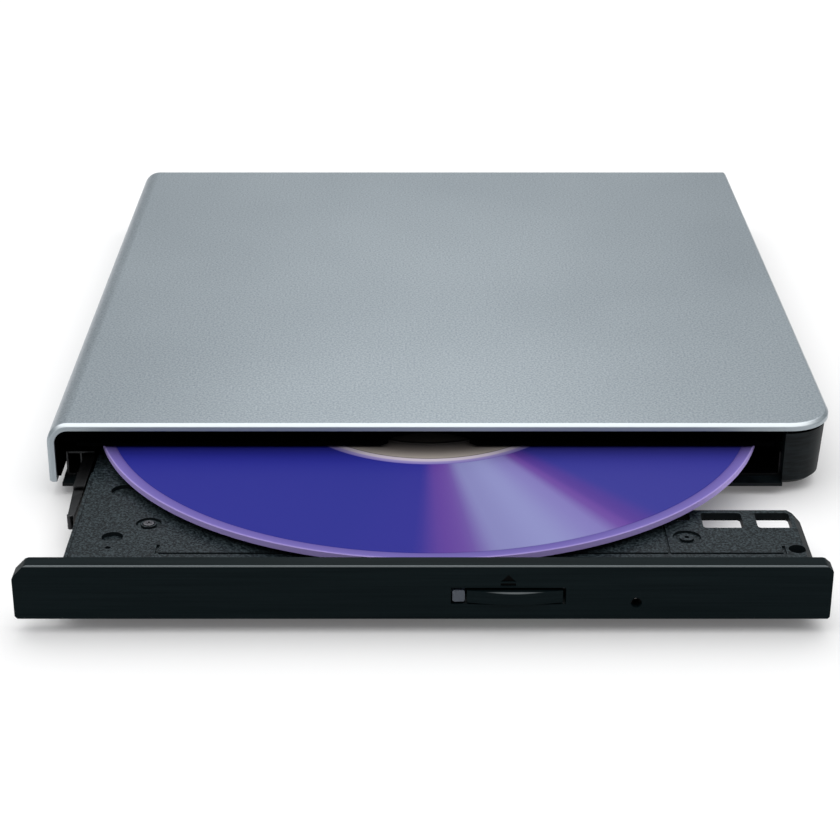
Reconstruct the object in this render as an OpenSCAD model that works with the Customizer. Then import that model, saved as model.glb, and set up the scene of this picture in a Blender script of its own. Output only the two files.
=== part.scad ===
// External slim optical drive with its tray part-way out and a disc on the spindle.
// Housing parts are drawn about the centre of the housing's footprint, tray parts
// where they sit when the tray is shut; in_housing() and on_tray() then move them to
// the rest position. Z = 0 is the underside of the rubber feet.

/* [Housing] */
// Width of the housing, side to side
case_w = 138; // [138:0.5:142]
// Depth of the housing, front to back
case_d = 144; // [144:0.5:148]
// Height of the top face above the table
case_h = 14; // [14:0.1:15]
// Thickness of the silver top cover
cover_t = 1.4; // [1.3:0.05:1.4]
// Outer radius of the cover's rounded left shoulder
shoulder_r = 3.8; // [3:0.1:4.2]
// Plan radius of the housing's front right corner
corner_r = 8; // [7.5:0.1:8.2]
// Width of the polished chamfer along the cover's front edge
bevel = 0.55; // [0.3:0.05:0.7]
// Height of the housing's underside above the table
foot_h = 1.8; // [1.6:0.1:1.8]
// Radius of each rubber foot
foot_r = 4; // [3:0.25:5]

/* [Tray] */
// How far the tray stands out of the housing
tray_out = 48; // [40:1:60]
// Height of the tray's deck
deck_z = 6.5; // [6.5:0.05:6.6]
// Thickness of the tray's deck
deck_t = 1.4; // [1.3:0.05:1.4]
// Depth of the front bezel, front to back
bezel_t = 2.9; // [2.7:0.1:2.9]
// Height of the bezel's top edge
bezel_top = 12; // [11.6:0.1:12.1]

/* [Disc] */
// Radius of the disc
disc_r = 60; // [60:1:60]
// Thickness of the disc
disc_t = 1.2; // [1.1:0.1:1.2]
// Height of the disc's underside
disc_z = 7.6; // [7.6:0.05:7.7]

/* [Pickup] */
// Direction in which the pickup travels away from the spindle
travel_angle = 135; // [134:1:136]
// Distance from the spindle to the lens at rest
lens_r = 40; // [38:1:41]
// Radius of the two guide rods
rod_r = 0.9; // [0.8:0.05:0.9]
// Distance that the lead screw advances in one turn
screw_pitch = 3; // [3:0.5:3]

/* [Hidden] */
$fn = 48;

front = -case_d / 2;
back = case_d / 2;
left = -case_w / 2;
right = case_w / 2;
eps = 0.01;

// housing levels and walls
cover_in = case_h - cover_t;
frame_top = cover_in;
frame_z = frame_top - 0.65;
wall_top = frame_z;
floor_t = 0.8;
floor_top = foot_h + floor_t;
lip_floor_top = floor_top - 0.15;
opening_right = 60.5;
liner_in = left + cover_t + 0.7;
floor_left = left + cover_t + 0.8;
side_draft = 0.7;
side_wall_t = 1.8;
rear_wall_t = 1.6;
bezel_left = liner_in + 0.3;
bezel_right = opening_right - 0.3;
bezel_bottom = lip_floor_top + 0.2;
bezel_back = front + bezel_t;
bezel_wall = 1.1;
lip_y = bezel_back + 0.3;
lip_z = 9.2;
lip_t = 1.4;

// drive chassis
pan_z = floor_top;
pan_t = 0.35;
pan_top = pan_z + pan_t;
pan_left = floor_left + 0.5;
pan_right = opening_right;
pan_front = bezel_back + 0.4;
pan_back = 57;
shield_z = 11.2;
shield_t = 0.3;

// spindle, in housing coordinates with the tray shut
spin_x = -2;
spin_y = -3.7;
disc_top = disc_z + disc_t;
hub_top = disc_top + 1.1;

// tray
deck_under = deck_z - deck_t;
skirt_z = 3.8;
tray_left = -60.8;
tray_right = 36.7;
tray_back = 51.5;
tray_front = bezel_back;
wing_right = 59.8;
wing_back = -42.2;
corner_hole = [57.5, -56.1];
corner_hole_r = 1.4;
sheet_z = 3.55;
sheet_t = 0.25;
pocket_z = deck_z - 0.55;
channel_z = deck_z - 0.35;

// rails: the outer channels are fixed, the middle channels move half as far as the tray
rail_gap = 0.4;
rail_low = 3.9;
rail_high = 6.4;
rail_wall = 0.4;
outer_low = 3.1;
outer_high = 7.2;
rail_back = 50;
runner_low = 4.65;
runner_high = 5.65;
runner_gap = 0.5;
left_rail_depth = 2;
right_rail_depth = 3.6;
left_web = tray_left - left_rail_depth;
right_web = tray_right + right_rail_depth;
left_rail_front = -57;
left_runner_front = 8.5;
right_rail_front = wing_back + 1.2;
right_rail_back = 51.5;

// traverse unit, in its own coordinates: +X away from the spindle
plate_z = sheet_z + sheet_t + 0.05;
plate_t = 0.45;
plate_top = plate_z + plate_t;
rod_v = 13;
rod_z = 5.25;
rod_from = 9;
rod_to = 55.5;
arm_from = -9;
arm_to = -5.4;
arm_top = 6.7;
tooth_u = -7.2;
screw_v = 16.6;
screw_r = 0.9;
screw_core = 0.5;
screw_from = 13;
screw_to = 54;
window_low_v = -17.5;
window_high_v = 19.8;
grommets = [[40, 22.6], [40, -20.6], [-17.9, 0]];
grommet_r = 2.3;
rotor_r = 10.8;

// eject latch
latch_x = 40.1;
latch_y = -51.9;
latch_z = 3.85;
latch_t = 0.9;
latch_release = 13;
pivot_r = 1;
plunger_x = 31.5;
plunger_y = -53;
plunger_z = 4.85;
plunger_stroke = (latch_x - plunger_x) * latch_release * PI / 180;
post_x = 44.9;
post_y = -60.3;
post_r = 0.9;

// front controls
slot_x = [1.25, 19.05];
slot_z = [5.25, 8.15];
lens_x = [1.45, 3.4];
button_x = [3.7, 18.6];
button_z = [5.5, 7.6];
pin_hole_x = 30;
pin_hole_z = 5.5;
pin_hole_r = 0.85;
sign_w = 2.4;
board_z = 3.85;
board_t = 0.6;

// circuit boards in the housing
main_board_z = 3.6;
bridge_z = 5;
usb_x = 35;
usb_w = 7.7;
usb_h = 3.9;
usb_z = bridge_z + 1;

screw_spots = [[64.2, -63.6], [63.8, 20], [-60, 65], [62, 65]];
feet_spots = [[-59, -63], [59, -60], [-59, 59], [56, 59]];
pan_spots = [[-54, 54.5], [15, 54.5], [-54, -66.6], [24, -66.6]];
board_spots = [[45, -36], [57, -36], [45, 50], [57, 50]];
bridge_spots = [[14, 61], [14, 68], [54, 68]];
cover_spots = [[-56, -56], [10, -56], [-57.5, 40], [30, 46]];
pusher_x = 15;
pusher_y = 44.5;
spring_seat = 30;

module in_housing() {
    translate([0, tray_out / 2, 0]) children();
}

module on_tray() {
    translate([0, -tray_out / 2, 0]) children();
}

// the middle rails are half-way between the tray and the housing
module on_rails() {
    children();
}

module at_spindle() {
    on_tray() translate([spin_x, spin_y, 0]) children();
}

module on_traverse() {
    at_spindle() rotate([0, 0, travel_angle]) children();
}

module on_pickup() {
    on_traverse() translate([lens_r, 0, 0]) children();
}

// a box from one corner to the other
module block(a, b) {
    translate(a) cube(b - a);
}

// a rounded bar lying flat between two points
module bar(p, q, w, z, h) {
    d = q - p;
    len = norm(d);
    translate([p.x, p.y, z]) rotate([0, 0, atan2(d.y, d.x)]) {
        translate([0, -w / 2, 0]) cube([len, w, h]);
        cylinder(r = w / 2, h = h);
        translate([len, 0, 0]) cylinder(r = w / 2, h = h);
    }
}

module post(x, y, r, z0, z1) {
    translate([x, y, z0]) cylinder(r = r, h = z1 - z0);
}

module screw(x, y, z, head_r, head_h, shaft_r, shaft_h, down = 1) {
    translate([x, y, z]) mirror([0, 0, down > 0 ? 0 : 1]) {
        difference() {
            translate([0, 0, -head_h]) cylinder(r = head_r, h = head_h);
            for (a = [0, 90]) {
                rotate([0, 0, a]) {
                    translate([-head_r * 0.6, -0.15, -0.25]) cube([head_r * 1.2, 0.3, 1]);
                }
            }
        }
        translate([0, 0, -head_h - shaft_h]) cylinder(r = shaft_r, h = shaft_h + 0.1);
    }
}

// ---------------------------------------------------------------- housing

// plan outline with one rounded corner at the front right and a chamfered top edge
module chamfered_slab(z0, z1, inset, c) {
    r = corner_r - inset;
    cx = right - corner_r;
    cy = front + corner_r;
    x1 = right - inset;
    y0 = front + inset;
    y1 = back - inset;
    translate([cx, cy, 0]) {
        rotate_extrude($fn = 96) polygon([[0, z0], [r, z0], [r, z1 - c], [r - c, z1], [0, z1]]);
    }
    translate([left + shoulder_r, 0, 0]) rotate([90, 0, 90]) {
        linear_extrude(cx - left - shoulder_r) {
            polygon([[y0, z0], [y1, z0], [y1, z1], [y0 + c, z1], [y0, z1 - c]]);
        }
    }
    translate([0, y1, 0]) rotate([90, 0, 0]) linear_extrude(y1 - cy) {
        polygon([[cx - 1, z0], [x1, z0], [x1, z1 - c], [x1 - c, z1], [cx - 1, z1]]);
    }
}

module top_cover() {
    wall_bottom = foot_h + 1;
    cx = left + shoulder_r;
    cz = case_h - shoulder_r;
    in_r = shoulder_r - cover_t;
    color("silver") in_housing() {
        chamfered_slab(cover_in, case_h, 0, bevel);
        intersection() {
            translate([cx, back, cz]) rotate([90, 0, 0]) rotate_extrude($fn = 96) {
                polygon([
                    [in_r, 0], [shoulder_r, 0], [shoulder_r, case_d - bevel],
                    [shoulder_r - bevel, case_d], [in_r, case_d]
                ]);
            }
            block([left - 1, front - 1, cz], [cx, back + 1, case_h + 1]);
        }
        translate([0, 0, wall_bottom]) linear_extrude(cz - wall_bottom) {
            polygon([
                [left, back], [left, front + bevel], [left + bevel, front],
                [left + cover_t, front], [left + cover_t, back]
            ]);
        }
    }
}

module upper_frame() {
    inset = 0.55;
    liner_out = left + cover_t;
    in_r = shoulder_r - cover_t;
    liner_top = case_h - shoulder_r;
    color([0.06, 0.06, 0.065]) in_housing() {
        difference() {
            chamfered_slab(frame_z, frame_top, inset, 0);
            block([-58, -58, frame_z - 1], [56, 50, frame_top - 0.35]);
            // thinner above the closed bezel
            block([liner_in, front - 1, frame_z - 1], [opening_right, lip_y, bezel_top + 0.15]);
        }
        // rounded liner that backs the silver shoulder and left wall
        intersection() {
            translate([left + shoulder_r, back - inset, liner_top]) rotate([90, 0, 0]) {
                rotate_extrude($fn = 96) {
                    polygon([
                        [in_r - 0.7, 0], [in_r, 0], [in_r, case_d - 2 * inset], [in_r - 0.7, case_d - 2 * inset]
                    ]);
                }
            }
            block([left, front, liner_top], [left + shoulder_r, back, case_h]);
        }
        block([liner_out, front + inset, foot_h + 2], [liner_in, back - inset, liner_top + eps]);
        // front lip above the disc, arched where the spindle hub passes
        difference() {
            union() {
                block([liner_in - eps, lip_y, lip_z], [opening_right, lip_y + lip_t, frame_z + eps]);
                // toe that reaches into the hollow back of the shut bezel
                block([bezel_left + bezel_wall + 1.7, front + bezel_wall + 0.3, lip_z],
                      [bezel_right - bezel_wall - 0.3, lip_y + eps, lip_z + 0.5]);
            }
            translate([spin_x, 0, lip_z - 20.3]) rotate([90, 0, 0]) {
                translate([0, 0, 50]) cylinder(r = 22, h = 40, $fn = 96);
            }
        }
        for (s = screw_spots) {
            difference() {
                post(s.x, s.y, 2, foot_h + 3, frame_z + eps);
                post(s.x, s.y, 0.75, foot_h + 2, 9);
            }
        }
    }
}

// solid of the lower case's outside, right of the drive bay: drafted wall and conical corner
module case_body() {
    cx = right - corner_r;
    cy = front + corner_r;
    r_top = corner_r - 0.5;
    r_low = r_top - side_draft;
    z0 = foot_h;
    z1 = wall_top;
    y1 = back - 0.5;
    edge = 0.8;
    // a small chamfer rounds the underside's outer edge
    intersection() {
        translate([cx, cy, 0]) rotate_extrude($fn = 96) {
            polygon([[0, z0], [r_low - edge, z0], [r_low + 0.06, z0 + edge], [r_top, z1], [0, z1]]);
        }
        block([opening_right, front - 1, 0], [right, back, case_h]);
    }
    translate([0, y1, 0]) rotate([90, 0, 0]) linear_extrude(y1 - cy) {
        polygon([
            [opening_right, z0], [cx + r_low - edge, z0], [cx + r_low + 0.06, z0 + edge],
            [cx + r_top, z1], [opening_right, z1]
        ]);
    }
    translate([opening_right, 0, 0]) rotate([90, 0, 90]) linear_extrude(cx - opening_right) {
        polygon([
            [cy - r_low + edge, z0], [cy - r_low - 0.06, z0 + edge], [cy - r_top, z1],
            [y1, z1], [y1, z0]
        ]);
    }
}

module bottom_case() {
    y1 = back - 0.5;
    color([0.09, 0.1, 0.11]) in_housing() difference() {
        union() {
            // floor and its thin front edge
            block([floor_left, lip_y, foot_h], [opening_right + 1, y1, floor_top]);
            block([floor_left, front + 0.4, foot_h], [opening_right + eps, lip_y + eps, lip_floor_top]);
            // corner block, right wall and rear wall
            difference() {
                case_body();
                block([opening_right + 1, front + 10, floor_top], [right - 1 - side_wall_t, y1 - rear_wall_t, 20]);
            }
            block([floor_left, y1 - rear_wall_t, foot_h], [opening_right + eps, y1, wall_top]);
            // standoffs for the bridge board
            for (p = bridge_spots) {
                post(p.x, p.y, 1.4, floor_top - eps, bridge_z);
            }
        }
        for (s = screw_spots) {
            post(s.x, s.y, 2.2, floor_top, wall_top + 1);
            post(s.x, s.y, 1, 0, floor_top + 1);
            post(s.x, s.y, 1.9, 0, foot_h + 0.35);
        }
        for (s = feet_spots) {
            post(s.x, s.y, foot_r, 0, foot_h + 0.25);
        }
        // shallow label recess in the underside
        block([-30, -20, foot_h - 1], [30, 20, foot_h + 0.15]);
        // opening for the USB socket
        block([usb_x - usb_w / 2 - 0.25, y1 - 4, usb_z - 0.25], [usb_x + usb_w / 2 + 0.25, y1 + 1, usb_z + usb_h + 0.25]);
        for (p = bridge_spots) {
            post(p.x, p.y, 0.6, floor_top + 0.2, bridge_z + 1);
        }
        for (p = pan_spots) {
            post(p.x, p.y, 0.7, floor_top - 0.5, floor_top + 1);
        }
    }
}

module rubber_feet() {
    color([0.13, 0.13, 0.13]) in_housing() for (s = feet_spots) {
        translate([s.x, s.y, 0]) rotate_extrude() {
            polygon([[0, 0], [foot_r - 0.4, 0], [foot_r, 0.4], [foot_r, foot_h + 0.25], [0, foot_h + 0.25]]);
        }
    }
}

module case_screws() {
    color("dimgray") in_housing() for (s = screw_spots) {
        screw(s.x, s.y, foot_h, 1.7, 0.35, 0.7, 5, down = -1);
    }
}

module base_pan() {
    flange = 0.35;
    color([0.7, 0.71, 0.72]) in_housing() difference() {
        union() {
            block([pan_left, pan_front, pan_z], [pan_right, pan_back, pan_top]);
            block([pan_left, pan_front, pan_top - eps], [pan_left + flange, pan_back, outer_high]);
            block([pan_right - flange, pan_front, pan_top - eps], [pan_right, pan_back, outer_high]);
            block([pan_left, pan_back - flange, pan_top - eps], [20, pan_back, outer_high]);
            for (p = board_spots) {
                post(p.x, p.y, 1.4, pan_top - eps, main_board_z);
            }
        }
        for (p = board_spots) {
            post(p.x, p.y, 0.55, pan_z - 1, main_board_z + 1);
        }
        for (p = pan_spots) {
            post(p.x, p.y, 0.9, pan_z - 1, pan_top + 1);
        }
    }
}

module top_shield() {
    flange = 0.3;
    x0 = pan_left + 0.1;
    x1 = pan_right - 0.1;
    y0 = lip_y + lip_t + 0.1;
    color([0.72, 0.73, 0.74]) in_housing() {
        difference() {
            block([x0, y0, shield_z], [x1, pan_back, shield_z + shield_t]);
            for (x = [-45, -15, 15, 45]) {
                translate([x, 46, shield_z - 1]) cylinder(r = 3, h = 3);
            }
        }
        for (x = [x0, x1 - flange]) {
            block([x, y0 + 8, outer_high], [x + flange, pan_back - 1, shield_z + eps]);
        }
    }
}

// pressed channel that opens towards +X, profile in X-Z and run along Y
module channel(x0, x1, z0, z1, wall, y0, y1) {
    inward = x1 > x0 ? 1 : -1;
    translate([0, y1, 0]) rotate([90, 0, 0]) linear_extrude(y1 - y0) {
        polygon([
            [x0, z0], [x1, z0], [x1, z0 + wall], [x0 + inward * wall, z0 + wall],
            [x0 + inward * wall, z1 - wall], [x1, z1 - wall], [x1, z1], [x0, z1]
        ]);
    }
}

module left_outer_rail() {
    x0 = left_web - rail_gap - 2 * rail_wall;
    x1 = tray_left - 0.8;
    color([0.2, 0.21, 0.22]) in_housing() {
        channel(x0, x1, outer_low, outer_high, rail_wall, lip_y + 1, pan_back - 1);
        // front clip that keeps the middle rail in
        block([pan_left + pan_t, lip_y + 0.2, outer_high - rail_wall], [tray_left - 0.4, lip_y + 2, outer_high]);
        // feet that rest on the pan
        for (y = [lip_y + 4, pan_back - 10]) {
            block([x0, y, pan_top], [x1, y + 8, outer_low + eps]);
        }
    }
}

module right_outer_rail() {
    x0 = right_web + 2 * rail_gap + 0.2;
    color([0.2, 0.21, 0.22]) in_housing() {
        channel(x0, x0 - 2.2, outer_low, outer_high, rail_wall, right_rail_front, right_rail_back);
        block([tray_right + 0.5, right_rail_front, outer_high - rail_wall], [x0, right_rail_front + 2, outer_high]);
        // feet that rest on the pan
        for (y = [right_rail_front + 2, right_rail_back - 7]) {
            block([x0 - 2.2, y, pan_top], [x0, y + 6, outer_low + eps]);
        }
    }
}

module latch_post() {
    color("silver") in_housing() {
        post(post_x, post_y, 2, pan_top, pan_top + 0.4);
        post(post_x, post_y, post_r, pan_top + 0.4 - eps, latch_z + latch_t);
    }
}

module main_board() {
    color([0.05, 0.25, 0.15]) in_housing() difference() {
        union() {
            block([42.4, -39.5, main_board_z], [59.7, 55.8, main_board_z + 0.8]);
            block([18, 52.2, main_board_z], [43, 55.8, main_board_z + 0.8]);
        }
        for (p = board_spots) {
            post(p.x, p.y, 0.65, main_board_z - 1, main_board_z + 2);
        }
    }
}

module main_board_chips() {
    z = main_board_z + 0.8;
    color([0.07, 0.07, 0.08]) in_housing() {
        block([45, -4, z], [57, 8, z + 1.2]);
        // ribbon connector on the underside
        block([43.4, 32, pan_top + 0.13], [46.4, 44, main_board_z]);
        block([45.5, -22, z], [55.5, -12, z + 1]);
        block([46, 16, z], [54, 22, z + 1]);
        block([47, 28, z], [52, 32, z + 0.9]);
        for (y = [-30, -27, 11, 13.5, 25, 36, 39, 42]) {
            block([48, y, z], [50, y + 1.1, z + 0.7]);
            block([53, y, z], [54.4, y + 0.9, z + 0.6]);
        }
    }
}

module drive_connector() {
    z = main_board_z + 0.8;
    color([0.1, 0.1, 0.1]) in_housing() difference() {
        block([23, 52.6, z], [56, 56.3, z + 2.8]);
        block([25, 54, z + 0.8], [38, 57, z + 2]);
        block([40, 54, z + 0.8], [54, 57, z + 2]);
    }
}

module bridge_board() {
    color([0.05, 0.22, 0.14]) in_housing() difference() {
        block([11, 59, bridge_z], [58, 69.6, bridge_z + 1]);
        for (p = bridge_spots) {
            post(p.x, p.y, 0.7, bridge_z - 1, bridge_z + 2);
        }
    }
}

module bridge_board_chips() {
    z = bridge_z + 1;
    color([0.08, 0.08, 0.09]) in_housing() {
        block([18, 61.5, z], [25, 68.5, z + 1]);
        block([42, 64.5, z], [47, 67.5, z + 1.1]);
        for (x = [27, 28.6, 40.4, 49]) {
            block([x, 66, z], [x + 0.8, 67.6, z + 0.6]);
        }
    }
}

module bridge_connector() {
    color([0.12, 0.12, 0.12]) in_housing() {
        block([25, 58.2, bridge_z + 1], [54, 61, bridge_z + 3]);
        block([25.5, 54.3, bridge_z + 0.4], [37.5, 59, bridge_z + 1.2]);
        block([40.5, 54.3, bridge_z + 0.4], [53.5, 59, bridge_z + 1.2]);
    }
}

// five-pin mini socket outline, wider at the top
module usb_outline(grow) {
    w = usb_w / 2 + grow;
    polygon([
        [usb_x - w, usb_z + usb_h + grow], [usb_x + w, usb_z + usb_h + grow],
        [usb_x + w, usb_z + 1.6], [usb_x + w - 0.9, usb_z - grow],
        [usb_x - w + 0.9, usb_z - grow], [usb_x - w, usb_z + 1.6]
    ]);
}

module usb_socket() {
    y1 = back - 0.55;
    color("silver") in_housing() difference() {
        translate([0, y1, 0]) rotate([90, 0, 0]) linear_extrude(9.2) usb_outline(0);
        translate([0, y1 + 1, 0]) rotate([90, 0, 0]) linear_extrude(9.6) usb_outline(-0.4);
    }
}

module usb_contacts() {
    y1 = back - 1.6;
    color([0.1, 0.1, 0.1]) in_housing() {
        block([usb_x - 2.6, y1 - 7.55, usb_z + 1.6], [usb_x + 2.6, y1, usb_z + 2.5]);
        for (i = [-2:2]) {
            block([usb_x + i * 0.9 - 0.18, y1 - 6.5, usb_z + 1.5], [usb_x + i * 0.9 + 0.18, y1 - 0.4, usb_z + 1.6 + eps]);
        }
    }
}

module board_screws() {
    color("dimgray") in_housing() {
        for (p = board_spots) {
            screw(p.x, p.y, main_board_z + 1.3, 1.2, 0.5, 0.5, 1.4);
        }
        for (p = bridge_spots) {
            screw(p.x, p.y, bridge_z + 1.5, 1.2, 0.5, 0.5, 2.4);
        }
    }
}

module drive_screws() {
    color("dimgray") in_housing() for (p = pan_spots) {
        screw(p.x, p.y, pan_top + 0.2, 1.3, 0.2, 0.7, 0.6);
    }
}

// ---------------------------------------------------------------- tray

module deck_outline() {
    polygon([
        [tray_left, tray_front], [wing_right, tray_front], [wing_right, wing_back - 2.8],
        [wing_right - 1.9, wing_back], [tray_right, wing_back], [tray_right, tray_back - 3],
        [tray_right - 3, tray_back], [tray_left + 3, tray_back], [tray_left, tray_back - 3]
    ]);
}

// outline of the hole that the traverse unit looks up through
module traverse_window() {
    translate([spin_x, spin_y]) rotate(travel_angle) {
        circle(r = 14.5, $fn = 96);
        intersection() {
            translate([0, window_low_v]) square([60, window_high_v - window_low_v]);
            circle(r = 58.6, $fn = 96);
        }
        translate([40, -10.3]) square([25.2, 20.6]);
    }
}

// upright cut with rounded corners through the whole tray
module rounded_cut(x0, y0, x1, y1, r) {
    z0 = skirt_z - 1;
    z1 = deck_z + 1;
    block([x0 + r, y0, z0], [x1 - r, y1, z1]);
    block([x0, y0 + r, z0], [x1, y1 - r, z1]);
    for (x = [x0 + r, x1 - r], y = [y0 + r, y1 - r]) {
        post(x, y, r, z0, z1);
    }
}

module wing_windows() {
    rounded_cut(43.3, -48.6, 50, -43.3, 0.6);
    rounded_cut(52.3, -48.6, 58, -43.3, 0.6);
    rounded_cut(38.4, -46, 41.4, -43.3, 0.6);
}

// slope along the wing's outer edge, cut from the deck
module wing_slope() {
    slope_w = 1.1;
    slope_h = 0.8;
    translate([wing_right, wing_back + 1, deck_z]) rotate([90, 0, 0]) {
        linear_extrude(wing_back + 2 - tray_front) {
            polygon([[-slope_w, 0], [-slope_w, 1], [slope_w, 1], [slope_w, -2 * slope_h]]);
        }
    }
}

module tray() {
    color([0.14, 0.15, 0.16]) on_tray() difference() {
        union() {
            translate([0, 0, deck_under]) linear_extrude(deck_t) deck_outline();
            // side skirts, front wall and back wall below the deck
            block([tray_left, tray_front, skirt_z], [tray_left + 1, tray_back - 3, deck_under + eps]);
            block([tray_right - 1, wing_back, skirt_z], [tray_right, tray_back - 3, deck_under + eps]);
            block([tray_left + 3, tray_back - 1, skirt_z], [tray_right - 3, tray_back, deck_under + eps]);
            block([wing_right - 0.9, tray_front, skirt_z], [wing_right, wing_back - 2.8, deck_under + eps]);
            block([tray_left, tray_front, skirt_z], [-3, tray_front + 1, deck_under + eps]);
            block([24, tray_front, skirt_z], [wing_right, tray_front + 1, deck_under + eps]);
            // runners that slide in the middle rails
            block([left_web + runner_gap, left_runner_front, runner_low], [tray_left + eps, tray_back - 3, runner_high]);
            block([tray_right - eps, right_rail_front + 0.6, runner_low], [tray_right + 1.9, tray_back - 3, runner_high]);
            // thin raised line along the left edge
            block([tray_left, tray_front, deck_z - eps], [tray_left + 0.6, -30, deck_z + 0.12]);
            // pivot for the latch lever and bosses
            post(latch_x, latch_y, pivot_r, latch_z - 0.05, deck_under + eps);
            for (g = grommets) {
                translate([spin_x, spin_y, 0]) rotate([0, 0, travel_angle]) post(g.x, g.y, 2.1, 4.8, deck_under + eps);
            }
            for (p = cover_spots) {
                post(p.x, p.y, 1.5, skirt_z, deck_under + eps);
            }
            for (x = [4, 17]) {
                post(x, -61.2, 0.6, board_z + board_t, deck_under + eps);
            }
            post(corner_hole.x, corner_hole.y, corner_hole_r + 0.7, skirt_z, deck_under + eps);
        }
        translate([0, 0, skirt_z - 1]) linear_extrude(10) traverse_window();
        wing_windows();
        wing_slope();
        // slanted shoulder at the left, lower behind it
        translate([0, 0, runner_high + 0.15]) linear_extrude(5) {
            polygon([[tray_left - 1, -29.5], [-57.5, -23.5], [-57.5, tray_back + 1], [tray_left - 1, tray_back + 1]]);
        }
        // relief above the traverse unit's rods and motor
        translate([spin_x, spin_y, 0]) rotate([0, 0, travel_angle]) {
            block([8, -19, deck_under - 1], [58, 21, pocket_z - 0.4]);
        }
        // round recesses, pip and screw seats in the deck
        post(-54.2, -34.8, 2.15, deck_z - 0.7, deck_z + 1);
        post(-53.9, -51.9, 1.75, deck_z - 0.7, deck_z + 1);
        post(-54.1, -55.6, 0.45, deck_z - 0.4, deck_z + 1);
        difference() {
            post(-48.5, -47.1, 2.1, deck_z - 0.45, deck_z + 1);
            post(-48.5, -47.1, 1.3, deck_z - 1, deck_z + 2);
        }
        post(-48.5, -47.1, 1, deck_z - 0.3, deck_z + 1);
        post(-48.5, -47.1, 0.7, deck_under - 1, deck_z + 1);
        for (p = cover_spots) {
            post(p.x, p.y, 0.65, skirt_z - 1, 4.8);
        }
        difference() {
            post(latch_x, latch_y, 2.3, deck_z - 0.45, deck_z + 1);
            post(latch_x, latch_y, 1.2, deck_z - 1, deck_z + 2);
        }
        post(latch_x, latch_y, 0.4, deck_z - 0.4, deck_z + 1);
        post(corner_hole.x, corner_hole.y, corner_hole_r, skirt_z + 0.3, deck_z + 1);
        // pressed outline of the shallow front panel
        for (b = [[-46.3, -57.8, 55.6, -57.3], [-46.3, -57.8, -45.8, -54.6], [36.5, -57.4, 36.9, -46.5], [55.1, -57.8, 55.6, -55]]) {
            block([b[0], b[1], deck_z - 0.35], [b[2], b[3], deck_z + 1]);
        }
        // recess under the disc
        post(spin_x, spin_y, 55, deck_z - 0.3, deck_z + 1);
        // room below for the solenoid, lever, pin and front controls
        block([27.6, -56.6, skirt_z - 2], [35.4, -38.6, pocket_z]);
        block([28.4, tray_front - 1, deck_under - 1], [31.4, -54, channel_z - 0.1]);
        block([27.9, tray_front - 1, skirt_z - 2], [31.9, -54, deck_under + 0.2]);
        block([0.6, tray_front - 1, skirt_z - 1], [20.4, -62.2, deck_z - 0.5]);
        block([8.7, tray_front - 1, skirt_z - 1], [14.1, -64.6, deck_z + 1]);
        block([0.6, tray_front - 1, skirt_z - 1], [3.8, tray_front + 1.2, deck_z + 1]);
        // slot for the eject pusher and its spring
        block([pusher_x - 3, spring_seat, skirt_z - 1], [pusher_x + 3, tray_back + 1, pocket_z - 0.1]);
        for (g = grommets) {
            translate([spin_x, spin_y, 0]) rotate([0, 0, travel_angle]) {
                post(g.x, g.y, 0.8, 0, deck_z + 1);
                post(g.x, g.y, 1.6, deck_z - 0.7, deck_z + 1);
            }
        }
    }
}

// bezel outline in X-Z: chamfered top corners, small bottom corners
module bezel_outline(inset) {
    x0 = bezel_left + inset;
    x1 = bezel_right - inset;
    z0 = bezel_bottom + inset;
    z1 = bezel_top - inset;
    c = 1.9;
    s = 1;
    polygon([
        [x0 + 0.45, z0], [x1 - 0.35, z0], [x1, z0 + 0.35], [x1, z1 - s - 0.15], [x1 - 0.1, z1 - s + 0.15],
        [x1 - s, z1 - 0.1], [x1 - s - 0.4, z1], [x0 + c + 0.5, z1], [x0 + c - 0.05, z1 - 0.2],
        [x0 + 0.25, z1 - c + 0.05], [x0, z1 - c - 0.5], [x0, z0 + 0.45]
    ]);
}

module bezel() {
    color([0.05, 0.07, 0.075]) on_tray() difference() {
        union() {
            difference() {
                translate([0, bezel_back, 0]) rotate([90, 0, 0]) linear_extrude(bezel_t) bezel_outline(0);
                // hollow back
                translate([0, bezel_back + 1, 0]) rotate([90, 0, 0]) {
                    linear_extrude(bezel_t - bezel_wall + 1) bezel_outline(bezel_wall);
                }
            }
            // ribs that tie the bezel to the tray's front wall
            for (x = [-55, -30, -6, 24, 36, 50]) {
                block([x - 0.5, front + 1, bezel_bottom + 0.5], [x + 0.5, bezel_back, lip_z - 0.4]);
            }
            // collar round the pin hole
            translate([pin_hole_x, bezel_back, pin_hole_z]) rotate([90, 0, 0]) {
                cylinder(r = pin_hole_r + 0.7, h = bezel_t - 0.5);
            }
            block([slot_x[0] - 0.7, front + 1, slot_z[0] - 0.7], [slot_x[1] + 0.7, bezel_back, slot_z[1] + 0.5]);
        }
        block([slot_x[0], front - 1, slot_z[0]], [slot_x[1], bezel_back + 1, slot_z[1]]);
        translate([pin_hole_x, bezel_back + 1, pin_hole_z]) rotate([90, 0, 0]) {
            cylinder(r = pin_hole_r, h = bezel_t + 2);
        }
        // engraved eject sign
        translate([10.1, front + 0.25, 0]) rotate([90, 0, 0]) linear_extrude(1) {
            polygon([[-sign_w / 2, 9.2], [sign_w / 2, 9.2], [0, 10.4]]);
            translate([-sign_w / 2, 8.45]) square([sign_w, 0.5]);
        }
    }
}

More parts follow.
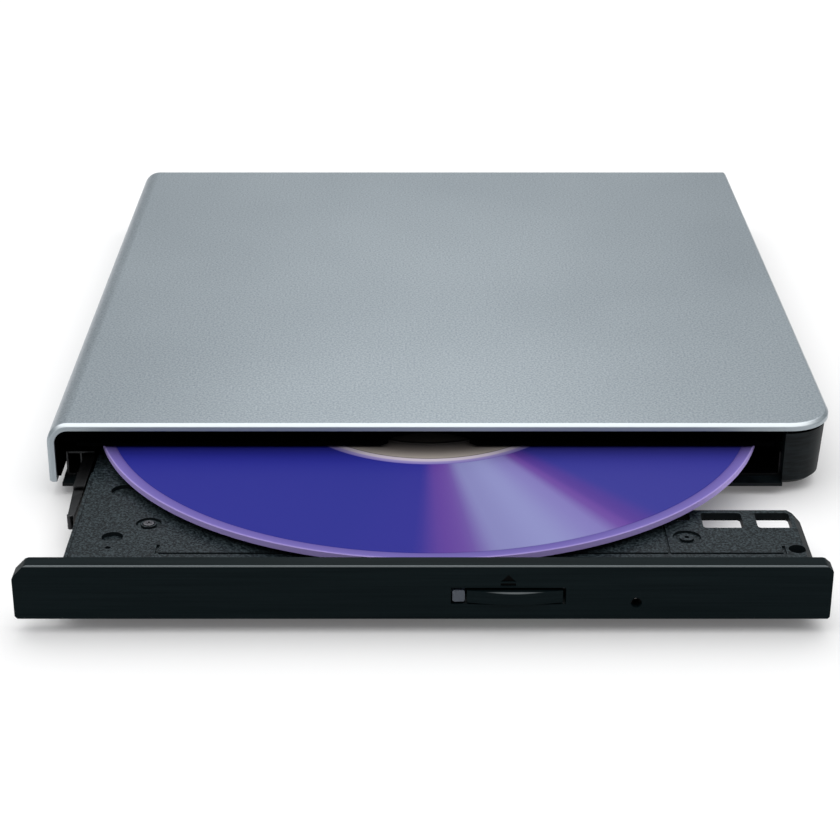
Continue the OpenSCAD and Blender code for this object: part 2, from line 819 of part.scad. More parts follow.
module led_lens() {
    z0 = slot_z[0];
    z1 = slot_z[1];
    face_z = [z0 + 0.4, z1 - 0.5];
    r = 0.35;
    length = bezel_t + 0.45;
    color([0.6, 0.64, 0.7]) on_tray() {
        // window with rounded corners
        translate([0, front + 0.15, 0]) {
            block([lens_x[0] + r, 0, face_z[0]], [lens_x[1] - r, length, face_z[1]]);
            block([lens_x[0], 0, face_z[0] + r], [lens_x[1], length, face_z[1] - r]);
            for (x = [lens_x[0] + r, lens_x[1] - r], z = [face_z[0] + r, face_z[1] - r]) {
                translate([x, length, z]) rotate([90, 0, 0]) cylinder(r = r, h = length);
            }
        }
        // flange against the bezel's back
        block([slot_x[0] - 0.4, bezel_back, z0], [lens_x[1] + 0.1, bezel_back + 0.9, z1]);
    }
}

module front_board() {
    color([0.05, 0.24, 0.15]) on_tray() {
        block([1, tray_front + 0.1, board_z], [20, -60.4, board_z + board_t]);
    }
}

module eject_switch() {
    z = board_z + board_t;
    color([0.1, 0.1, 0.1]) on_tray() {
        block([9.2, tray_front + 1.5, z], [13.6, tray_front + 4.1, z + 2.6]);
        block([10.4, tray_front + 1.2, z + 1.1], [12.4, tray_front + 1.5 + eps, z + 2.1]);
    }
}

module status_led() {
    z = board_z + board_t;
    color([0.9, 0.95, 0.8]) on_tray() {
        block([1.7, tray_front + 1.1, z], [3.3, tray_front + 2.7, z + 1.3]);
    }
}

module tray_underside_cover() {
    color([0.7, 0.71, 0.72]) on_tray() difference() {
        block([tray_left + 0.6, -58.5, sheet_z], [tray_right - 0.4, tray_back - 0.4, sheet_z + sheet_t]);
        // clear of the latch lever and solenoid
        block([26, -59, sheet_z - 1], [tray_right + 1, -38.5, sheet_z + 2]);
        for (p = cover_spots) {
            post(p.x, p.y, 0.7, 0, 9);
        }
    }
}

module tray_screws() {
    color("dimgray") on_tray() {
        screw(-48.5, -47.1, deck_z + 0.1, 0.9, 0.4, 0.6, 1.1);
        for (p = cover_spots) {
            screw(p.x, p.y, sheet_z - 0.2, 1.2, 0.2, 0.6, 0.4, down = -1);
        }
    }
}

module traverse_plate() {
    color([0.62, 0.63, 0.65]) on_traverse() difference() {
        translate([0, 0, plate_z]) linear_extrude(plate_t) intersection() {
            union() {
                translate([-13, -23.4]) square([73, 48.6]);
                circle(r = 20.4);
            }
            circle(r = 56.5, $fn = 96);
            translate([-20.6, -30]) square([90, 60]);
        }
        // opening for the sled
        block([12.6, -10.8, 0], [60, 10.8, 10]);
        post(0, 0, 2, 0, 10);
        for (g = grommets) {
            post(g.x, g.y, 0.5, 0, 10);
        }
    }
}

module damper_grommets() {
    color([0.12, 0.12, 0.12]) on_traverse() for (g = grommets) {
        translate([g.x, g.y, 0]) rotate_extrude() {
            translate([0.8, plate_top]) square([grommet_r - 0.8, 4.8 - plate_top]);
        }
    }
}

module traverse_screws() {
    color("dimgray") on_traverse() for (g = grommets) {
        screw(g.x, g.y, deck_z - 0.2, 1.4, 0.5, 0.5, 1.6);
    }
}

module spindle_stator() {
    color([0.72, 0.45, 0.2]) on_traverse() {
        // bearing tube on its flange
        difference() {
            union() {
                post(0, 0, 12, plate_top, plate_top + 0.3);
                post(0, 0, 1.9, plate_z, 5.4);
            }
            post(0, 0, 0.85, plate_z - 1, 6);
        }
        // nine wound poles
        for (i = [0:8]) {
            rotate([0, 0, i * 40]) block([3, -1, plate_top + 0.3], [9.2, 1, 5.35]);
        }
        rotate_extrude() translate([1.85, plate_top + 0.5]) square([1.7, 0.5]);
    }
}

module guide_rod(v) {
    on_traverse() translate([rod_from, v, rod_z]) rotate([0, 90, 0]) {
        cylinder(r = rod_r, h = rod_to - rod_from);
    }
}

module main_guide_rod() {
    color("silver") guide_rod(rod_v);
}

module support_guide_rod() {
    color("silver") guide_rod(-rod_v);
}

module rod_clamps() {
    color([0.25, 0.26, 0.27]) on_traverse() for (v = [-rod_v, rod_v], u = [rod_from - 0.6, rod_to - 2.4]) {
        difference() {
            block([u, v - 1.7, plate_top], [u + 3, v + 1.7, rod_z + 1.2]);
            translate([rod_from - 0.01, v, rod_z]) rotate([0, 90, 0]) {
                cylinder(r = rod_r, h = rod_to - rod_from + 0.02);
            }
        }
    }
}

module sled_motor() {
    h = 1;
    axis_z = plate_top + h;
    color([0.55, 0.56, 0.58]) on_traverse() difference() {
        union() {
            for (s = [-0.6, 0.6]) {
                translate([2, screw_v + s, axis_z]) rotate([0, 90, 0]) cylinder(r = h, h = 10);
            }
            block([2, screw_v - 0.6, axis_z - h], [12, screw_v + 0.6, axis_z + h]);
            block([11, screw_v - 1.9, plate_top], [11.8, screw_v + 1.9, rod_z]);
        }
        translate([9, screw_v, rod_z]) rotate([0, 90, 0]) cylinder(r = 0.55, h = 4);
    }
}

module screw_bearing() {
    color([0.85, 0.85, 0.82]) on_traverse() difference() {
        block([screw_to - 0.6, screw_v - 1.6, plate_top], [screw_to - 0.6 + 1.6, screw_v + 1.6, rod_z + 1]);
        translate([screw_to - 1, screw_v, rod_z]) rotate([0, 90, 0]) cylinder(r = 0.55, h = 1.6);
    }
}

module eject_solenoid() {
    color([0.6, 0.35, 0.15]) on_tray() difference() {
        union() {
            block([28.4, -48.4, 3.9], [34.6, -39.6, 5.8]);
            block([28, -49, 3.85], [35, -48.4, 5.9]);
            block([28, -39.6, 3.85], [35, -39, 5.9]);
        }
        translate([plunger_x, -42, plunger_z]) rotate([90, 0, 0]) cylinder(r = 0.75, h = 10);
    }
}

module eject_pusher() {
    color([0.85, 0.86, 0.84]) on_tray() {
        block([pusher_x - 2.3, pusher_y, sheet_z + sheet_t], [pusher_x + 2.3, 50.6, 5.4]);
        block([pusher_x - 1.5, 50.6 - eps, 4.2], [pusher_x + 1.5, pan_back - pan_t - 0.25, 5.2]);
        block([pusher_x - 0.5, pusher_y - 3.5, 4.5], [pusher_x + 0.5, pusher_y + eps, 5.1]);
    }
}

module pusher_spring() {
    turns = 9;
    wire_r = 0.17;
    pitch = (pusher_y - spring_seat - 2 * wire_r) / turns;
    color("silver") on_tray() {
        for (i = [0:turns]) {
            translate([pusher_x, spring_seat + wire_r + i * pitch, 4.8]) rotate([90, 0, 0]) rotate_extrude($fn = 24) {
                translate([0.83, 0]) circle(r = wire_r, $fn = 13);
            }
        }
    }
}

// flat ribbon folded under the tray: fixed at the main board, moving at the tray
module flex_cable() {
    x0 = 8;
    x1 = 22;
    t = 0.1;
    low = pan_top + 0.03;
    high = sheet_z - 0.13;
    fold = -58 + tray_out / 2;
    tray_end = 30 - tray_out / 2;
    board_end = 44 + tray_out / 2;
    mid = (low + high + t) / 2;
    r = (high + t - low) / 2;
    color([0.85, 0.84, 0.8]) {
        block([x0, fold, low], [x1, board_end, low + t]);
        block([x1 - eps, board_end - 12, low], [46, board_end, low + t]);
        block([x0, fold, high], [x1, tray_end, high + t]);
        translate([x0, fold, mid]) rotate([0, 90, 0]) difference() {
            cylinder(r = r, h = x1 - x0);
            translate([0, 0, -1]) cylinder(r = r - t, h = x1 - x0 + 2);
            translate([-5, 0, -1]) cube([10, 10, x1 - x0 + 2]);
        }
    }
}

// ---------------------------------------------------------------- spindle

module spindle_hub() {
    color([0.7, 0.7, 0.7]) at_spindle() difference() {
        rotate_extrude($fn = 96) polygon([
            [0, plate_z + 0.1], [0.8, plate_z + 0.1], [0.8, 5.6], [rotor_r - 0.6, 5.6],
            [rotor_r - 0.6, 4.7], [rotor_r, 4.7], [rotor_r, 6.9], [12.8, 6.9], [12.8, disc_z - 0.25],
            [7.4, disc_z - 0.25], [7.4, disc_top - 0.3], [6.6, hub_top - 0.3], [6.2, hub_top],
            [2.4, hub_top], [2.2, hub_top - 0.3], [0, hub_top - 0.3]
        ]);
        for (i = [0:2]) {
            rotate([0, 0, 60 + i * 120]) block([3.4, -1.3, disc_z + 0.2], [8, 1.3, hub_top - 0.35]);
        }
    }
}

module hub_pad() {
    color([0.1, 0.1, 0.1]) at_spindle() rotate_extrude($fn = 96) {
        translate([9.6, disc_z - 0.25]) square([3, 0.25]);
    }
}

module clamp_claws() {
    color([0.9, 0.9, 0.88]) at_spindle() for (i = [0:2]) {
        rotate([0, 0, 60 + i * 120]) translate([0, 1.15, 0]) rotate([90, 0, 0]) {
            linear_extrude(2.3) polygon([
                [3.4, disc_z + 0.35], [7.2, disc_z + 0.35], [7.35, disc_top + 0.05],
                [7.75, disc_top + 0.25], [6.9, hub_top - 0.45], [3.4, hub_top - 0.45]
            ]);
        }
    }
}

module disc() {
    color([0.33, 0.28, 0.65]) at_spindle() rotate_extrude($fn = 180) {
        translate([7.5, disc_z]) square([disc_r - 7.5, disc_t]);
    }
}

// ---------------------------------------------------------------- pickup

module pickup_sled() {
    color([0.5, 0.51, 0.53]) on_pickup() difference() {
        union() {
            block([-9, -9.8, plate_z], [6.6, 9.8, 6.2]);
            block([arm_from, 9.8 - eps, plate_top + 0.25], [arm_to, rod_v + 1.9, arm_top]);
            block([arm_from, -rod_v - 1.5, plate_top + 0.25], [arm_to, -9.7, arm_top]);
        }
        // bore for the main rod and open jaw for the support rod
        translate([-20, rod_v, rod_z]) rotate([0, 90, 0]) cylinder(r = rod_r + 0.05, h = 40);
        block([-20, -rod_v - 3, rod_z - rod_r - 0.05], [20, -rod_v + rod_r + 0.3, rod_z + rod_r + 0.05]);
        // well for the lens actuator
        block([-5.2, -6.4, 4.5], [5.2, 6.4, 10]);
    }
}

module laser_module() {
    color([0.75, 0.66, 0.35]) on_pickup() {
        translate([-6.8, -2, 6.2]) cylinder(r = 1.4, h = 0.4);
        block([-8.4, 3, 6.2], [-5.6, 7, 6.6]);
    }
}

module actuator_frame() {
    color([0.3, 0.31, 0.32]) on_pickup() {
        block([-5.1, -6.3, 4.5], [5.1, 6.3, 4.7]);
        for (s = [-1, 1]) {
            block([-3, s * 5.4 - 0.7, 4.7 - eps], [3, s * 5.4 + 0.7, 6.6]);
        }
    }
}

module screw_follower() {
    reach = screw_v - screw_r - 0.35;
    color([0.9, 0.9, 0.86]) on_pickup() {
        block([arm_from, rod_v + 1.9, rod_z - 0.7], [arm_to, reach, rod_z + 0.9]);
        // tooth that sits in the screw's groove
        translate([tooth_u, 0, rod_z]) rotate([-90, 0, 0]) {
            translate([0, 0, reach - eps]) cylinder(r1 = 0.4, r2 = 0.1, h = 0.55);
        }
    }
}

module lens_holder() {
    color([0.08, 0.08, 0.08]) on_pickup() difference() {
        union() {
            block([-3.3, -4.2, 5.25], [3.3, 4.2, 6.4]);
            post(0, 0, 2.4, 5.25, 6.6);
        }
        post(0, 0, 1.7, 4, 7);
    }
}

module objective_lens() {
    color([0.6, 0.75, 0.95]) on_pickup() translate([0, 0, 5.9]) {
        intersection() {
            cylinder(r = 1.7, h = 1);
            translate([0, 0, -2.4]) sphere(r = 3.2);
        }
    }
}

// screw groove: a notched circle twisted along the axis
module lead_screw() {
    length = screw_to - screw_from - 1;
    turns = length / screw_pitch;
    steps = 12;
    // the groove faces the follower's tooth at rest
    start = 270 - 360 * (lens_r + tooth_u - screw_from) / screw_pitch;
    color("silver") on_traverse() translate([screw_from, screw_v, rod_z]) rotate([0, 90, 0]) {
        linear_extrude(length, twist = -360 * turns, slices = ceil(turns * 12), segments = 1, $fn = 12) {
            polygon([for (i = [0:steps - 1])
                let (
                    a = start + i * 360 / steps,
                    side = min(i, steps - i),
                    r = side == 0 ? screw_core : side == 1 ? screw_r - 0.2 : screw_r
                )
                [r * cos(a), r * sin(a)]]);
        }
        translate([0, 0, -3]) cylinder(r = 0.5, h = 3.2);
        translate([0, 0, length - 0.2]) cylinder(r = 0.5, h = 1.6);
    }
}

// ---------------------------------------------------------------- eject

module solenoid_plunger() {
    // drawn where it holds the latch shut, then moved back by its stroke
    color("silver") on_tray() translate([0, plunger_stroke, 0]) {
        translate([plunger_x, -46, plunger_z]) rotate([90, 0, 0]) cylinder(r = 0.7, h = 5.6);
        block([plunger_x - 0.9, plunger_y - 0.8, latch_z + latch_t + 0.15], [plunger_x + 0.9, -51.3, 5.6]);
        post(plunger_x, plunger_y, 0.45, latch_z, latch_z + latch_t + 0.2);
    }
}

module latch_lever() {
    hub = [0, 0];
    link = [plunger_x - latch_x, plunger_y - latch_y];
    push_x = pin_hole_x - latch_x;
    hook_x = post_x - latch_x + 0.1;
    hook_y = post_y + post_r - latch_y + 0.5;
    z = latch_z;
    h = latch_t;
    // drawn latched about its pivot, then turned to the released rest position
    color([0.85, 0.85, 0.83]) on_tray() translate([latch_x, latch_y, 0]) rotate([0, 0, -latch_release]) {
        difference() {
            union() {
                post(0, 0, 2, z, z + h);
                bar(hub, link, 2.4, z, h);
                bar(link, [push_x, -4.1], 1.6, z, h);
                block([push_x - 1, -4.9, z], [push_x + 1, -3.5, pocket_z - 0.2]);
                bar(hub, [hook_x - 2.6, hook_y + 0.5], 1.6, z, h);
                // hook that catches behind the fixed post
                block([hook_x - 2.8, hook_y, z], [hook_x, hook_y + 1.1, z + h]);
            }
            post(0, 0, pivot_r + 0.06, z - 1, z + h + 1);
            bar([link.x - 0.15, link.y], [link.x + 0.15, link.y], 1.3, z - 1, h + 2);
        }
    }
}

// bowed front face, side lugs and a stem that reaches the switch
module eject_button() {
    mid = (button_x[0] + button_x[1]) / 2;
    half = (button_x[1] - button_x[0]) / 2;
    bow = 0.75;
    bow_r = (half * half + bow * bow) / (2 * bow);
    color([0.07, 0.09, 0.095]) on_tray() {
        translate([0, 0, button_z[0]]) linear_extrude(button_z[1] - button_z[0]) intersection() {
            translate([mid, front - bow + 0.15 + bow_r]) circle(r = bow_r, $fn = 180);
            translate([button_x[0], front - 1]) square([2 * half, 2.6]);
        }
        // shoulder that closes the slot behind the front
        block([button_x[0], front + 1.1, slot_z[0] + 0.3], [button_x[1], front + 1.7, slot_z[1] - 0.3]);
        block([mid - 5, front + 1.5, 6], [mid + 5, tray_front - 0.5, 7.4]);
        block([mid - 0.9, tray_front - 0.6, 6], [mid + 0.9, tray_front + 0.65, 7]);
    }
}

// ---------------------------------------------------------------- rails

module left_rail() {
    x0 = left_web - rail_wall;
    x1 = tray_left - rail_gap;
    y0 = left_rail_front;
    tip = [left_web + 0.7, y0 - 10.8];
    color([0.16, 0.17, 0.18]) on_rails() {
        channel(x0, x1, rail_low, rail_high, rail_wall, y0, rail_back);
        // tapered front tongue with a rounded tip
        translate([0, 0, rail_low]) linear_extrude(rail_high - rail_low - 0.6) {
            polygon([[x0, y0 + 0.1], [tip.x - 0.5, tip.y], [tip.x + 0.5, tip.y], [x1 - 0.2, y0 + 0.1]]);
        }
        post(tip.x, tip.y, 0.5, rail_low, rail_high);
    }
}

module right_rail() {
    x0 = right_web;
    color([0.16, 0.17, 0.18]) on_rails() {
        channel(x0 + rail_wall, tray_right + rail_gap, rail_low, rail_high, rail_wall, right_rail_front, rail_back);
    }
}

top_cover();
upper_frame();
bottom_case();
rubber_feet();
case_screws();
base_pan();
top_shield();
left_outer_rail();
right_outer_rail();
latch_post();
main_board();
main_board_chips();
drive_connector();
bridge_board();
bridge_board_chips();
bridge_connector();
usb_socket();
usb_contacts();
board_screws();
drive_screws();
tray();
bezel();
led_lens();
front_board();
eject_switch();
status_led();
tray_underside_cover();
tray_screws();
traverse_plate();
damper_grommets();
traverse_screws();
spindle_stator();
main_guide_rod();
support_guide_rod();
rod_clamps();
sled_motor();
screw_bearing();
eject_solenoid();
eject_pusher();
pusher_spring();
flex_cable();
spindle_hub();
hub_pad();
clamp_claws();
disc();
pickup_sled();
laser_module();
actuator_frame();
screw_follower();
lens_holder();
objective_lens();
lead_screw();
solenoid_plunger();
latch_lever();
eject_button();
left_rail();
right_rail();
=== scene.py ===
# External slim optical drive: the looks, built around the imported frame.
# Metres throughout, in the frame's own axes: +Z up, the tray slides out towards -Y.
import math

import bmesh
import bpy
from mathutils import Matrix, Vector


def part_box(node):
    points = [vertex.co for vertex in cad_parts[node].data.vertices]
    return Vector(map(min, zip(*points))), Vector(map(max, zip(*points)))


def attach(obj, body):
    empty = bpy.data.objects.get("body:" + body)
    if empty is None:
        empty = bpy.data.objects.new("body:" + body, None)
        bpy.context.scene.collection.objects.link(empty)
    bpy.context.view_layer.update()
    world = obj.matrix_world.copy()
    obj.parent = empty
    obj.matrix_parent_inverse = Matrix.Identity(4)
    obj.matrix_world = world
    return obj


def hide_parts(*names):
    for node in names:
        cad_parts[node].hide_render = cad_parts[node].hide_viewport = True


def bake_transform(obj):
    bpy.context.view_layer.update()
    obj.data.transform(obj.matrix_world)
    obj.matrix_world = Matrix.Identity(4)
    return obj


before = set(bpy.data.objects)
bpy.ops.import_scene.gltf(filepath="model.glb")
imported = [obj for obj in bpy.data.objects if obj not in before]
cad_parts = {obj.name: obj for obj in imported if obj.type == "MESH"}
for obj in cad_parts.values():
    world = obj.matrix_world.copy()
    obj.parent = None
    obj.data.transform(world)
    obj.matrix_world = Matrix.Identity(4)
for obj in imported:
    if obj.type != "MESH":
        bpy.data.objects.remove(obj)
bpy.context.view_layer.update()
MM = 0.001

# the camera's place in metres, its tilt from straight down, and its lens and sensor in millimetres
CAMERA_PLACE = (-0.00355, -0.37765, 0.16465)
CAMERA_TILT = math.radians(65.56)
LENS_LENGTH = 89.1
SENSOR_WIDTH = 36

# half the floor's side
FLOOR_REACH = 4.0

# the disc's radius and its hole's, and where its dye starts and ends as a share of the radius
DISC_RADIUS = 60 * MM
DISC_HOLE = 7.5 * MM
DYE_START, DYE_END = 0.426, 0.967

# edges sharper than this are rounded on carried-over nodes
SHARP_ANGLE = math.radians(32)


# ---------------------------------------------------------------- camera, light, floor

def make_camera():
    data = bpy.data.cameras.new("camera")
    data.sensor_width = SENSOR_WIDTH
    data.lens = LENS_LENGTH
    cam = bpy.data.objects.new("camera", data)
    cam.location = CAMERA_PLACE
    cam.rotation_euler = (CAMERA_TILT, 0, 0)
    bpy.context.scene.collection.objects.link(cam)
    bpy.context.scene.camera = cam


def make_world():
    """A pale studio dome: darker near the horizon, bright overhead."""
    world = bpy.data.worlds.new("studio")
    world.use_nodes = True
    tree = world.node_tree
    tree.nodes.clear()
    place = tree.nodes.new("ShaderNodeTexCoord")
    split = tree.nodes.new("ShaderNodeSeparateXYZ")
    ramp = tree.nodes.new("ShaderNodeValToRGB")
    ramp.color_ramp.elements[0].position = 0.0
    ramp.color_ramp.elements[0].color = (0.44, 0.46, 0.48, 1)
    ramp.color_ramp.elements[1].position = 0.75
    ramp.color_ramp.elements[1].color = (1.0, 1.0, 1.0, 1)
    for height, tone in ((0.20, (0.36, 0.385, 0.405)), (0.45, (0.42, 0.445, 0.465))):
        ramp.color_ramp.elements.new(height).color = (*tone, 1)
    glow = tree.nodes.new("ShaderNodeBackground")
    glow.inputs["Strength"].default_value = 1.05
    out = tree.nodes.new("ShaderNodeOutputWorld")
    tree.links.new(place.outputs["Generated"], split.inputs[0])
    tree.links.new(split.outputs["Z"], ramp.inputs["Fac"])
    tree.links.new(ramp.outputs["Color"], glow.inputs["Color"])
    tree.links.new(glow.outputs[0], out.inputs["Surface"])
    bpy.context.scene.world = world


def make_softbox(name, place, aim, size, watts):
    data = bpy.data.lights.new(name, "AREA")
    data.shape = "RECTANGLE"
    data.size, data.size_y = size
    data.energy = watts
    lamp = bpy.data.objects.new(name, data)
    lamp.location = place
    direction = Vector(aim) - Vector(place)
    lamp.rotation_euler = direction.to_track_quat("-Z", "Y").to_euler()
    bpy.context.scene.collection.objects.link(lamp)


def make_floor():
    mesh = bpy.data.meshes.new("floor")
    signs = ((-1, -1), (1, -1), (1, 1), (-1, 1))
    corners = [(x * FLOOR_REACH, y * FLOOR_REACH, 0) for x, y in signs]
    mesh.from_pydata(corners, [], [(0, 1, 2, 3)])
    floor = bpy.data.objects.new("floor", mesh)
    bpy.context.scene.collection.objects.link(floor)
    paper = bpy.data.materials.new("paper")
    paper.use_nodes = True
    shader = paper.node_tree.nodes["Principled BSDF"]
    shader.inputs["Base Color"].default_value = (0.66, 0.66, 0.66, 1)
    shader.inputs["Emission Color"].default_value = (1.0, 0.97, 0.97, 1)
    shader.inputs["Emission Strength"].default_value = 0.11
    shader.inputs["Roughness"].default_value = 0.9
    shader.inputs["Specular IOR Level"].default_value = 0.1
    floor.data.materials.append(paper)


# ---------------------------------------------------------------- material helpers

class Shader:
    """A material being built: a Principled shader and short calls that add nodes to it."""

    def __init__(self, name, rough=0.5, metal=0.0, specular=0.5):
        self.material = bpy.data.materials.new(name)
        self.material.use_nodes = True
        self.tree = self.material.node_tree
        self.bsdf = self.tree.nodes["Principled BSDF"]
        self.bsdf.inputs["Roughness"].default_value = rough
        self.bsdf.inputs["Metallic"].default_value = metal
        self.bsdf.inputs["Specular IOR Level"].default_value = specular
        self.place = self.tree.nodes.new("ShaderNodeTexCoord").outputs["Object"]

    def node(self, kind, **values):
        made = self.tree.nodes.new(kind)
        for key, value in values.items():
            setattr(made, key, value)
        return made

    def link(self, a, b):
        self.tree.links.new(a, b)

    def stretched(self, scale):
        """Object coordinates times a scale per axis."""
        mapping = self.node("ShaderNodeMapping")
        mapping.inputs["Scale"].default_value = scale
        self.link(self.place, mapping.inputs["Vector"])
        return mapping.outputs["Vector"]

    def noise(self, scale, detail=3.0, rough=0.6, stretch=(1, 1, 1)):
        made = self.node("ShaderNodeTexNoise")
        made.inputs["Scale"].default_value = scale
        made.inputs["Detail"].default_value = detail
        made.inputs["Roughness"].default_value = rough
        self.link(self.stretched(stretch), made.inputs["Vector"])
        return made.outputs["Fac"]

    def cells(self, scale, output="Distance"):
        made = self.node("ShaderNodeTexVoronoi", feature="F1")
        made.inputs["Scale"].default_value = scale
        self.link(self.stretched((1, 1, 1)), made.inputs["Vector"])
        return made.outputs[output]

    def ramp(self, source, low, high, low_at=0.3, high_at=0.7):
        """Colours from low to high as the source goes from low_at to high_at."""
        made = self.node("ShaderNodeValToRGB")
        made.color_ramp.elements[0].position = low_at
        made.color_ramp.elements[0].color = (*low, 1)
        made.color_ramp.elements[1].position = high_at
        made.color_ramp.elements[1].color = (*high, 1)
        self.link(source, made.inputs["Fac"])
        return made.outputs["Color"]

    def spectrum(self, source, blend, stops):
        """Colours at several places along a 0 to 1 source."""
        made = self.node("ShaderNodeValToRGB")
        made.color_ramp.interpolation = blend
        for at, tone in stops[1:-1]:
            made.color_ramp.elements.new(at).color = (*tone, 1)
        made.color_ramp.elements[0].color = (*stops[0][1], 1)
        made.color_ramp.elements[-1].color = (*stops[-1][1], 1)
        self.link(source, made.inputs["Fac"])
        return made.outputs["Color"]

    def mix(self, share, a, b, kind="MIX"):
        made = self.node("ShaderNodeMix", data_type="RGBA", blend_type=kind)
        if isinstance(share, (int, float)):
            made.inputs[0].default_value = share
        else:
            self.link(share, made.inputs[0])
        for value, socket in ((a, made.inputs[6]), (b, made.inputs[7])):
            if isinstance(value, tuple):
                socket.default_value = (*value, 1)
            else:
                self.link(value, socket)
        return made.outputs[2]

    def math(self, kind, a, b=0.0):
        made = self.node("ShaderNodeMath", operation=kind)
        for value, socket in ((a, made.inputs[0]), (b, made.inputs[1])):
            if isinstance(value, (int, float)):
                socket.default_value = value
            else:
                self.link(value, socket)
        return made.outputs[0]

    def level(self, source, low, high):
        """Maps a 0 to 1 source to the range low to high."""
        made = self.node("ShaderNodeMapRange")
        made.inputs["To Min"].default_value = low
        made.inputs["To Max"].default_value = high
        self.link(source, made.inputs["Value"])
        return made.outputs["Result"]

    def within(self, source, low_at, high_at):
        """0 to 1 as the source goes from low_at to high_at, and flat outside that."""
        made = self.node("ShaderNodeMapRange")
        made.inputs["From Min"].default_value = low_at
        made.inputs["From Max"].default_value = high_at
        self.link(source, made.inputs["Value"])
        return made.outputs["Result"]

    def axes(self, vector):
        """A vector's X, Y and Z outputs."""
        split = self.node("ShaderNodeSeparateXYZ")
        self.link(vector, split.inputs[0])
        return split.outputs

    def from_centre(self, centre):
        """Object coordinates measured from a centre."""
        shift = self.node("ShaderNodeVectorMath", operation="SUBTRACT")
        shift.inputs[1].default_value = centre
        self.link(self.place, shift.inputs[0])
        return shift.outputs[0]

    def rings(self, vector, scale, distortion=0.0):
        """Fine rings about the vector's upright axis."""
        made = self.node("ShaderNodeTexWave", wave_type="RINGS", rings_direction="Z")
        made.inputs["Scale"].default_value = scale
        made.inputs["Distortion"].default_value = distortion
        self.link(vector, made.inputs["Vector"])
        return made.outputs["Fac"]

    def facing(self, axis):
        """How far the surface faces along an axis, from -1 to 1, in the object's own frame."""
        return self.axes(self.tree.nodes["Texture Coordinate"].outputs["Normal"])[axis]

    def front_edge(self):
        """1 on rounded edges between a front face and a top face, 0 elsewhere."""
        return self.within(self.math("MULTIPLY", self.facing("Y"), self.facing("Z")), -0.15, -0.45)

    def colour(self, source):
        self.link(source, self.bsdf.inputs["Base Color"])

    def roughness(self, source):
        self.link(source, self.bsdf.inputs["Roughness"])

    def bump(self, source, height, strength):
        made = self.node("ShaderNodeBump")
        made.inputs["Strength"].default_value = strength
        made.inputs["Distance"].default_value = height
        self.link(source, made.inputs["Height"])
        self.link(made.outputs["Normal"], self.bsdf.inputs["Normal"])


# ---------------------------------------------------------------- materials

def silver_paint():
    """Satin metallic paint: fine flakes, a faint cloudiness, a painted highlight line on the front bevel,
    and front faces painted a lighter, less metallic grey as painted light.
    """
    s = Shader("silver_paint", rough=0.36, metal=0.9)
    flakes = s.noise(2500, detail=2, rough=0.7)
    clouds = s.noise(24, detail=3)
    grain = s.ramp(flakes, (0.205, 0.24, 0.265), (0.435, 0.48, 0.51), 0.28, 0.74)
    tint = s.ramp(clouds, (0.95, 0.955, 0.96), (1.0, 1.0, 1.0), 0.35, 0.65)
    # painted highlight: the rounded front bevel gets a bright line, and faces that look to the front get a
    # lighter, less metallic grey, as painted light
    bevel = s.front_edge()
    front = s.math("GREATER_THAN", s.math("MULTIPLY", s.facing("Y"), -1.0), 0.8)
    painted_light_faces = s.math("MAXIMUM", bevel, front)
    upward = s.math("MAXIMUM", s.facing("Z"), 0.0)
    calm = s.mix(s.level(upward, 0.7, 0.0), grain, (0.325, 0.365, 0.39))
    body = s.mix(1.0, calm, tint, "MULTIPLY")
    highlight_and_front = s.mix(bevel, (0.33, 0.375, 0.405), (0.50, 0.54, 0.56))
    s.colour(s.mix(painted_light_faces, body, highlight_and_front))
    s.roughness(s.level(clouds, 0.33, 0.40))
    s.link(s.level(front, 0.9, 0.25), s.bsdf.inputs["Metallic"])
    rough_part = s.math("MULTIPLY", upward, s.math("SUBTRACT", 1.0, painted_light_faces))
    s.bump(s.math("MULTIPLY", flakes, rough_part), 0.012 * MM, 0.35)
    return s.material


def moulded(name, dark, light, rough, grain, depth, specular, edge_sheen=0.5, lay=(1, 1, 1)):
    """Moulded plastic with an eroded surface.

    grain is the number of bumps in a metre, lay their density per axis, and the argument before lay how
    strongly a painted highlight shows on rounded front top edges.
    """
    s = Shader(name, rough=rough, specular=specular)
    fine = s.noise(grain, detail=3, rough=0.65, stretch=lay)
    broad = s.noise(60, detail=2)
    tone = s.ramp(fine, dark, light, 0.38, 0.72)
    body = s.mix(s.level(broad, 0.0, 0.25), tone, dark)
    # painted highlight: a tone far lighter than the plastic along rounded front top edges
    sheen_tone = tuple(2.2 * c + 0.01 for c in light)
    s.colour(s.mix(s.math("MULTIPLY", s.front_edge(), edge_sheen), body, sheen_tone))
    s.roughness(s.level(fine, rough - 0.08, rough + 0.1))
    s.bump(fine, depth, 0.6)
    return s.material


